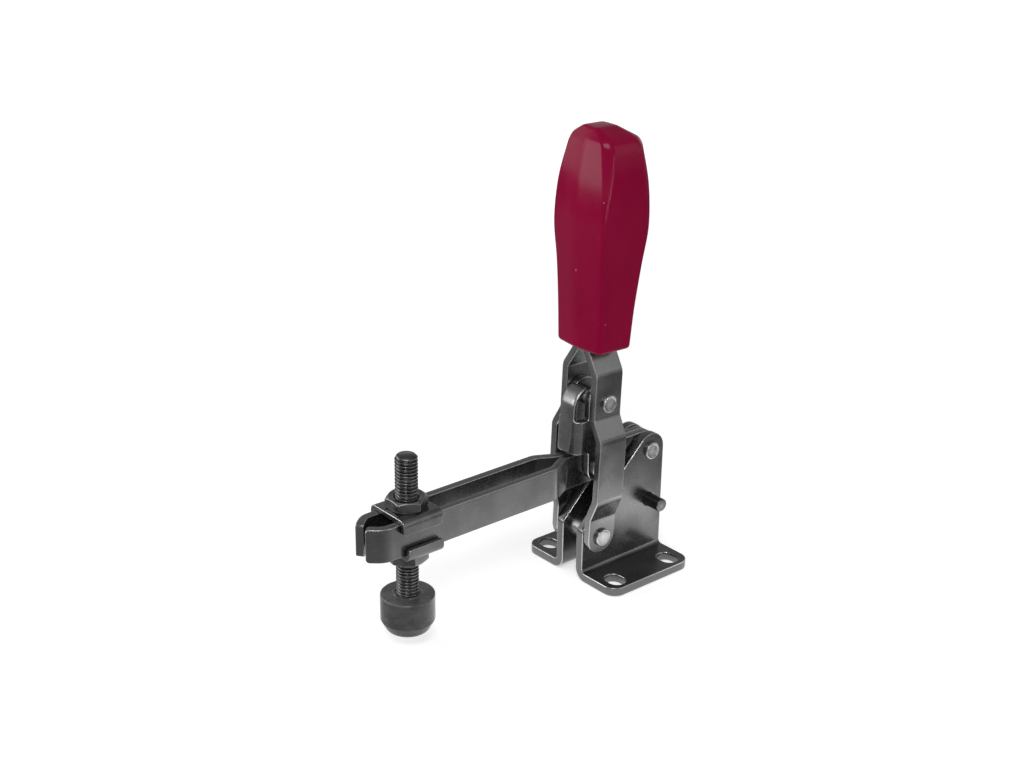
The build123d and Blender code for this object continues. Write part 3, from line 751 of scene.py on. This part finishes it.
def rivet(name, at, half, body, amount=0.12, phase=0.0):
    """Two dished heads on a shank that runs from -half to half along X."""
    right, left = head_profile(half), head_profile(half, -1.0)
    turned(name, left[::-1] + right, (HEAD_RADII[::-1] + HEAD_RADII), at, ALONG_X, RIVET_STEEL,
           body, wobble=uneven(amount, 3, phase))


rivet("handle_pivot_rivet_shown", HANDLE_PIVOT, 10.25, "base", 0.06, 0.8)
rivet("link_top_rivet_shown", LINK_PIVOT, 9.25, "handle", 0.22, 2.2)
rivet("arm_link_rivet_shown", ARM_RIVET, 6.05, "link", 0.05)
for side, sign in (("right", 1), ("left", -1)):
    turned(f"arm_pivot_rivet_{side}_shown", [(0, sign * 3.6), (2.5, sign * 3.6)]
           + head_profile(7.1, sign), [0, 0.1] + HEAD_RADII, ARM_PIVOT, ALONG_X,
           RIVET_STEEL, "base", wobble=uneven(0.04, 4, 1.0))

# %% [markdown]
# ### Bushes, spacer, pin and thin washers
# The bright tubes between the walls keep the sheets apart and take the wear. The stop pin is a
# plain dowel pressed through both walls.

# %% Bushes, spacer and stop pin
turned("handle_pivot_spacer_shown", tube_profile(2.52, 4.0, -3.6, 3.6), 0.2, HANDLE_PIVOT,
       ALONG_X, BUSH_STEEL, "base", tube=True)
turned("link_top_bush_shown", tube_profile(2.52, 3.6, -3.15, 3.15), 0.2, LINK_PIVOT, ALONG_X,
       BUSH_STEEL, "handle", tube=True)
turned("arm_pivot_bush_shown", [(0, -3.55), (3.6, -3.55), (3.6, 3.55), (0, 3.55)],
       [0, 0.2, 0.2, 0], ARM_PIVOT, ALONG_X, BUSH_STEEL, "arm")
turned("stop_pin_shown", [(0, -14.3), (2.5, -14.3), (2.5, 14.3), (0, 14.3)],
       [0, 0.5, 0.5, 0], STOP_PIN_AT, ALONG_X, PIN_STEEL, "base")
for side, sign in (("right", 1), ("left", -1)):
    turned(f"arm_pivot_washer_{side}_shown",
           tube_profile(3.61, 6.0, sign * 3.05, sign * 3.5), 0.1, ARM_PIVOT, ALONG_X,
           BUSH_STEEL, "arm", tube=True)

# %% [markdown]
# ## Spindle
# A screw thread is a radius that depends on one number only: height plus pitch times the turn.
# The plus winds this one left-handed; the usual right-handed thread has a minus there. The
# crest is flat for an eighth of the pitch and the flanks ease into the root. Both ends are
# turned to a chamfer, so the radius is the smaller of the thread's and the chamfer's.

# %% Threaded spindle
PITCH, AROUND, PER_PITCH = 1.25, 48, 12
CREST_RADIUS, THREAD_DEPTH, CHAMFER_RADIUS = 3.98, 0.67, 3.1
rows = int(SPINDLE_LONG / PITCH * PER_PITCH) + 1
height = np.linspace(0, -SPINDLE_LONG, rows)[:, None]
turn = np.linspace(0, 1, AROUND, endpoint=False)[None, :]
phase = np.abs(((height / PITCH + turn) % 1.0) - 0.5) * 2
flank = np.clip((phase - 0.12) / 0.70, 0, 1)
radius = CREST_RADIUS - THREAD_DEPTH * flank * (1 + 0.12 * np.sin(np.pi * flank))
end = np.minimum(-height, height + SPINDLE_LONG)
radius = np.minimum(radius, CHAMFER_RADIUS + end)
# The crest mark paints the thread's crests lighter in the finish: wear and a painted highlight.
crest = np.clip(1 - phase / 0.22, 0, 1)
t = 2 * np.pi * turn
points = np.stack([radius * np.cos(t), radius * np.sin(t) + SPINDLE_Y,
                   height + SPINDLE_TOP + 0 * t], -1)
caps = np.stack([np.broadcast_to([0, SPINDLE_Y, z], (AROUND, 3))
                 for z in (SPINDLE_TOP, SPINDLE_TOP - SPINDLE_LONG)])
points = np.concatenate([caps[:1], points[:1], points, points[-1:], caps[1:]])
crest = np.concatenate([np.zeros((2, AROUND)), crest, np.zeros((2, AROUND))])
make_piece("spindle_shown", points.reshape(-1, 3), grid_faces(len(points), AROUND),
           THREAD_STEEL, "spindle_set", marks={"rim": crest.ravel()})

# %% [markdown]
# ## Nuts
# A thin nut is a hexagon whose corners were turned off at 30 degrees on both faces, which leaves
# a round crown. Each ring of the grid is either a circle or the hexagon's outline, and the drop
# at the outline is (distance from the axis - crown) times tan 30, which draws the curved lines
# that a real nut shows.

# %% Nuts
HALF_FLATS, NUT_HIGH = 6.5, 4.0


def nut(name, bottom, turned_by):
    """Rings from the bore, over the crown, down the hexagon and back underneath."""
    corner = HALF_FLATS / math.cos(math.pi / 6)
    angle = np.radians(np.arange(6) * 60 + turned_by)
    hexagon = rounded(corner * np.stack([np.cos(angle), np.sin(angle)], 1), 0.35, steps=4,
                      hold=0.15)
    share = np.linspace(0, 1, 5)[:-1, None]
    sides = [hexagon[k] * (1 - share) + hexagon[(k + 1) % len(hexagon)] * share
             if k % 7 == 6 else hexagon[k:k + 1] for k in range(len(hexagon))]
    hexagon = np.concatenate(sides)
    reach = np.linalg.norm(hexagon, axis=1)
    unit = hexagon / reach[:, None]
    crown = HALF_FLATS * 0.97
    drop = np.maximum(reach - crown, 0) * math.tan(math.pi / 6)
    # The marks paint the nut's edges lighter in the finish: wear and a painted highlight.
    rings = [(4.05, 0.7, 0), (4.6, 0.12, 0), (4.75, 0, 0.0), (crown - 0.25, 0, 0.0),
             (crown - 0.02, 0.02, 0.5), (crown + 0.12, 0.09, 1.0)]
    level, marks, spread = [], [], []
    for r, down, mark in rings:
        spread.append(unit * np.minimum(r, reach)[:, None])
        level.append(np.full(len(reach), NUT_HIGH - down))
        marks.append(np.full(len(reach), mark))
    for inset, extra, mark in ((0.12, 0.0, 0.2), (0.0, 0.12, 1.0), (0.0, 0.35, 0.0)):
        spread.append(hexagon - unit * inset)
        level.append(NUT_HIGH - drop - extra + inset * math.tan(math.pi / 6))
        marks.append(np.full(len(reach), mark))
    spread, level, marks = map(np.array, (spread, level, marks))
    spread = np.concatenate([spread, spread[::-1]])
    level = np.concatenate([level, NUT_HIGH - level[::-1]])
    marks = np.concatenate([marks, marks[::-1]])
    points = np.concatenate([spread + [0, SPINDLE_Y], bottom + level[..., None]], -1)
    make_piece(name, points.reshape(-1, 3), grid_faces(len(points), len(reach), True),
               NUT_STEEL, "carriage", marks={"rim": marks.ravel()})


nut("upper_nut_shown", ARM_TOP + SADDLE_SHEET, 0.0)
nut("lower_nut_shown", ARM_BOTTOM - SADDLE_SHEET - NUT_HIGH, -16.0)

# %% [markdown]
# ## Rubber cap
# The cap is moulded round the end of the spindle. Its top is flat, with a low torn lip of flash
# round the thread; below a straight side it tapers and rounds into the face that presses the
# work. The profile leaves out the floor of the bore, which the end of the spindle hides.

# %% Rubber cap
LIP_EDGE = 5.6


def torn_lip(r, h, t):
    """Above CAP_TOP and inside LIP_EDGE, height above the top is times 0.5 plus waves of 2, 5
    and 9 round the axis, and the radius gains 0.12 times a wave of 3."""
    lip = (h > CAP_TOP) * (r < LIP_EDGE)
    waves = 0.5 + 0.25 * np.sin(2 * t + 1) + 0.2 * np.sin(5 * t) + 0.15 * np.sin(9 * t + 2)
    return r + 0.12 * lip * np.sin(3 * t), np.where(lip, CAP_TOP + (h - CAP_TOP) * waves, h + 0 * t)


turned("rubber_cap_shown",
       [(3.4, CAP_FLOOR), (3.4, CAP_TOP), (4.1, 14.15), (4.5, 14.6), (4.9, 14.6),
        (5.3, CAP_TOP), (9.55, CAP_TOP), (9.55, 4.4), (7.15, 0), (0, 0)],
       [0, 0.05, 0.2, 0.15, 0.15, 0.15, 0.5, 1.2, 2.6, 0],
       np.array([0, SPINDLE_Y, CAP_BOTTOM]), np.array([0, 0, 1.0]), RUBBER, "spindle_set",
       around=96, steps=7, wobble=torn_lip)

# %% [markdown]
# ## Grip
# The grip is a six-sided moulding: two flats front and back meeting in a soft ridge, and a flat
# on each side, with its corners cut towards the top. Its sections are given at a few heights and
# joined by a smooth curve through them. Each corner of each section is a short curve, and at the
# rim every column of the grid turns over with the same trick, from the side on to the hipped top.

# %% Grip
GRIP_ABOVE, GRIP_LONG, TOP_FORWARD = 20.2, 75.6, 3.5
from_bottom = np.array([0.0, 0.2, 0.4, 0.6, 0.8, 1.0]) * GRIP_LONG
half_width = np.array([11.4, 11.6, 11.95, 12.85, 12.85, 11.0])
half_depth = np.array([7.65, 8.55, 9.9, 11.1, 10.7, 9.15])
ridge_out = np.array([1.6, 1.6, 1.8, 1.8, 1.5, 0.8])
cut_across = np.array([1.0, 0.9, 0.7, 0.35, 1.2, 2.9])
cut_deep = np.array([1.0, 0.9, 0.8, 0.9, 2.9, 2.6])


def smooth_through(heights, values, at):
    """Cubic between known heights, with each slope the mean of its two neighbours' slopes."""
    slope = np.gradient(values, heights)
    k = np.clip(np.searchsorted(heights, at) - 1, 0, len(heights) - 2)
    gap = heights[k + 1] - heights[k]
    s = (at - heights[k]) / gap
    return ((1 + 2 * s) * (1 - s) ** 2 * values[k] + s * (1 - s) ** 2 * gap * slope[k]
            + s * s * (3 - 2 * s) * values[k + 1] + s * s * (s - 1) * gap * slope[k + 1])


def grip_ring(a, b, ridge, across, deep, forward, height, soft):
    """Section with cut corners; rows of rings at once, each corner a Bezier of reach soft."""
    a, b, ridge, across, deep, forward, height = np.broadcast_arrays(
        a, b, ridge, across, deep, forward, height)
    quarter = [(a, b - deep), (a - across, b), (0 * a, b + ridge)]
    corners = (quarter + [(-x, y) for x, y in quarter[1::-1]]
               + [(-x, -y) for x, y in quarter] + [(x, -y) for x, y in quarter[1::-1]])
    corners = np.stack([np.stack([x + 0 * a, y], -1) for x, y in corners], 1)
    back = np.roll(corners, 1, 1) - corners
    ahead = np.roll(corners, -1, 1) - corners
    far_back = np.linalg.norm(back, axis=2, keepdims=True)
    far_ahead = np.linalg.norm(ahead, axis=2, keepdims=True)
    soft = np.asarray(soft)[None, :, None]
    start = corners + back / far_back * np.minimum(soft, far_back * 0.45)
    stop = corners + ahead / far_ahead * np.minimum(soft, far_ahead * 0.45)
    s = np.linspace(0, 1, 6)[None, None, :, None]
    arc = ((1 - s) ** 2 * start[:, :, None] + 2 * s * (1 - s) * corners[:, :, None]
           + s * s * stop[:, :, None])
    ring = arc.reshape(len(a), -1, 2)
    level = np.broadcast_to(height[:, None, None], ring.shape[:2] + (1,))
    ring = np.concatenate([ring, level], 2)
    ring[..., 1] -= forward[:, None]
    return ring


SOFT = [1.0, 1.0, 3.0, 1.0, 1.0, 1.0, 1.0, 3.0, 1.0, 1.0]
set_forward = np.array([0.3, 0.3, 0.1, 0.15, 0.35, 0.5])
rise = np.linspace(0, GRIP_LONG, 64)
side = grip_ring(*(smooth_through(from_bottom, v, rise)
                   for v in (half_width, half_depth, ridge_out, cut_across, cut_deep,
                             set_forward)), rise, SOFT)
flat_top = grip_ring(*[np.array([v]) for v in (3.7, 4.8, 0.2, 0.8, 0.8, TOP_FORWARD, 79.85)],
                     SOFT)[0]


def turn_over(before, corner, after, reach, steps=7):
    """Column by column, a Bezier from reach before the corner to reach after it, at most 0.45
    of the way to the next ring."""
    back, ahead = before - corner, after - corner
    far = np.linalg.norm(ahead, axis=-1, keepdims=True)
    start = corner + back / np.linalg.norm(back, axis=-1, keepdims=True) * reach
    stop = corner + ahead / far * np.minimum(reach, 0.45 * far)
    s = np.linspace(0, 1, steps)[:, None, None]
    return (1 - s) ** 2 * start + 2 * s * (1 - s) * corner + s * s * stop


bottom_middle = np.broadcast_to([0.0, 0.0, 0.0], side[0].shape)
top_middle = np.broadcast_to([0.0, -TOP_FORWARD, 79.98], side[0].shape)
rim_reach = 1.9 + 2.1 * np.clip((np.abs(side[-1][:, :1]) - 7.5) / 3, 0, 1)
grip = np.concatenate([bottom_middle[None], side[:1] * [0.6, 0.6, 1],
                       turn_over(side[0] * [0.6, 0.6, 1], side[0], side[3], 1.5),
                       side[2:-4], turn_over(side[-4], side[-1], flat_top, rim_reach),
                       turn_over(side[-1], flat_top, top_middle, 1.0), top_middle[None]])
grip_at = HANDLE_PIVOT + UP * (HANDLE_REACH + GRIP_ABOVE)
make_piece("grip_shown", lean(grip.reshape(-1, 3), grip_at),
           grid_faces(len(grip), grip.shape[1]), GRIP_PLASTIC, "handle")

# %% [markdown]
# ## Floor
# The clamp stands on a plain white floor. Its shader is a diffuse paper, which takes the clamp's
# shadow, and a glow on camera, glossy and transmission rays, so that the eye and the metal both
# see a white ground while the glow adds no light. In reflections the glow fades with distance,
# a painted pool of light like a lit table in a darker room, and that gives the dark steel its
# contrast. Far out the paper is greyer, which paints the same fall-off of light on the floor,
# and the glow for the camera makes up for it.

# %% White floor


def white_floor(radius=2.5):
    """Disc of that radius. In reflections the glow falls from 1 to 0 between 50 and 125 mm out.
    For the camera it is 0.56, plus up to 0.22 by 155 mm and up to 0.22 more by 800 mm, and the
    paper goes from 0.80 to 0.40 between 115 and 155 mm."""
    mesh = bpy.data.meshes.new("white_floor")
    rim = circle((0, 0), radius, 64)
    mesh.from_pydata(np.column_stack([rim, np.full(64, -0.0003)]).tolist(), [],
                     [list(range(64))])
    floor = bpy.data.objects.new("white_floor", mesh)
    bpy.context.scene.collection.objects.link(floor)
    f = Finish("white_floor")
    f.tree.nodes.remove(f.shader)
    path = f.node("ShaderNodeLightPath").outputs
    far = f.node("ShaderNodeVectorMath", {0: f.where()}, operation="LENGTH").outputs["Value"]
    mirrored = f.maths("MAXIMUM", path["Is Glossy Ray"], path["Is Transmission Ray"])
    # Painted pool of light: the glow seen in reflections falls off with distance from the clamp.
    mirrored = f.maths("MULTIPLY", mirrored, f.ramp(far, 0.050, 0.125, 1.0, 0.0))
    seen = f.maths("MULTIPLY", path["Is Camera Ray"], f.maths(
        "ADD", f.ramp(far, 0.15, 0.80, 0.56, 0.78), f.ramp(far, 0.115, 0.155, 0.0, 0.22)))
    glow = f.node("ShaderNodeEmission", {"Strength": f.maths("ADD", mirrored, seen)})
    # Painted fall-off of light: the paper is greyer far from the clamp.
    paper = f.node("ShaderNodeBsdfDiffuse", {
        "Color": f.mix(f.ramp(far, 0.115, 0.155), grey(0.80), grey(0.40))})
    both = f.node("ShaderNodeAddShader", {0: paper.outputs[0], 1: glow.outputs[0]})
    f.set(f.tree.nodes["Material Output"].inputs["Surface"], both.outputs[0])
    mesh.materials.append(f.material)


white_floor()

# %% [markdown]
# ## Light
# Satin metal and gloss plastic show the room more than the lamps, so the room matters: the world
# is white round the horizon and greyer overhead, which is what a small photo studio looks like
# from inside. Four soft boxes stand low round the clamp, two on each side of the camera, and a
# fifth hangs high above the camera. They draw the long highlights down the grip, the thread and
# the rounded edges of the steel. A small lit card by the right foot shows in the base wall.

# %% World and lamps
MIDDLE = np.array([0.0, -0.02, 0.0])


def room(overhead):
    """Background grey from 1 at the horizon to overhead at 8 degrees up."""
    studio = bpy.data.worlds.new("studio")
    bpy.context.scene.world = studio
    studio.use_nodes = True
    nodes, links = studio.node_tree.nodes, studio.node_tree.links
    split = nodes.new("ShaderNodeSeparateXYZ")
    links.new(nodes.new("ShaderNodeTexCoord").outputs["Generated"], split.inputs[0])
    fade = nodes.new("ShaderNodeMapRange")
    fade.interpolation_type = "SMOOTHSTEP"
    for place, value in ((1, 0.02), (2, 0.14), (3, 1.0), (4, overhead)):
        fade.inputs[place].default_value = value
    links.new(split.outputs["Z"], fade.inputs[0])
    links.new(fade.outputs[0], nodes["Background"].inputs["Color"])


def placed(axes, place):
    """Matrix whose columns are the right, up and back axes and the place."""
    return Matrix(np.vstack([np.column_stack([*axes, place]), [0, 0, 0, 1]]).tolist())


def area_lamp(name, axes, place, size, power):
    """Rectangular lamp that shines away from its back axis, unseen by the camera."""
    lamp = bpy.data.lights.new(name, "AREA")
    lamp.shape = "RECTANGLE"
    lamp.size, lamp.size_y = size
    lamp.energy = power
    holder = bpy.data.objects.new(name, lamp)
    bpy.context.scene.collection.objects.link(holder)
    holder.visible_camera = False
    holder.matrix_world = placed(axes, place)


def soft_box(name, round_from_front, away, height, size, power):
    """Area lamp at MIDDLE + away * (-sin a, -cos a), at that height, facing the clamp."""
    a = math.radians(round_from_front)
    place = MIDDLE + [-away * math.sin(a), -away * math.cos(a), height]
    back = place - MIDDLE - [0, 0, 0.08]
    back /= np.linalg.norm(back)
    side = np.cross([0, 0, 1.0], back)
    side /= np.linalg.norm(side)
    area_lamp(name, (side, np.cross(back, side), back), place, size, power)


def card(name, place, turn, size, power):
    """Small upright area lamp at that place, turned about z from facing -Y."""
    c, s = math.cos(math.radians(turn)), math.sin(math.radians(turn))
    area_lamp(name, ([c, s, 0], [0, 0, 1], [-s, c, 0]), place, size, power)


room(0.36)
card("right_card", (0.0400, 0.0295, 0.005), -49.6, (0.026, 0.010), 0.0017)
soft_box("front_window", 31, 0.52, 0.190, (0.22, 0.20), 0.70)
soft_box("left_window", 57, 0.55, 0.265, (0.32, 0.36), 0.52)
soft_box("right_window", -100, 0.55, 0.110, (0.06, 0.22), 0.30)
soft_box("rear_window", -131, 0.66, 0.350, (0.30, 0.30), 0.26)
soft_box("high_window", -45, 0.64, 0.700, (0.25, 0.25), 2.20)

# %% [markdown]
# ## Camera
# The camera looks down at 22.8 degrees from the clamp's near front corner. It is set by its own
# three axes: right, up and back are the columns of its matrix.

# %% Camera
SENSOR, FOCAL_PIXELS, FRAME_PIXELS = 36.0, 1744.0, 1024.0
CAMERA_AT = np.array([422.696, -409.054, 318.345])
turn, tip, roll = np.radians([49.58, 22.82, 0.809])
back = np.array([math.sin(turn) * math.cos(tip), -math.cos(turn) * math.cos(tip), math.sin(tip)])
right = np.array([math.cos(turn), math.sin(turn), 0.0])
up = np.cross(back, right)
right, up = (right * math.cos(roll) + up * math.sin(roll),
             up * math.cos(roll) - right * math.sin(roll))
lens = bpy.data.cameras.new("camera")
lens.sensor_width = SENSOR
lens.lens = SENSOR * FOCAL_PIXELS / FRAME_PIXELS
lens.clip_start, lens.clip_end = 0.01, 50.0
camera = bpy.data.objects.new("camera", lens)
bpy.context.scene.collection.objects.link(camera)
camera.matrix_world = placed((right, up, back), CAMERA_AT * MM)
bpy.context.scene.camera = camera
bpy.context.scene.view_settings.view_transform = "Standard"
print("lens", lens.lens)
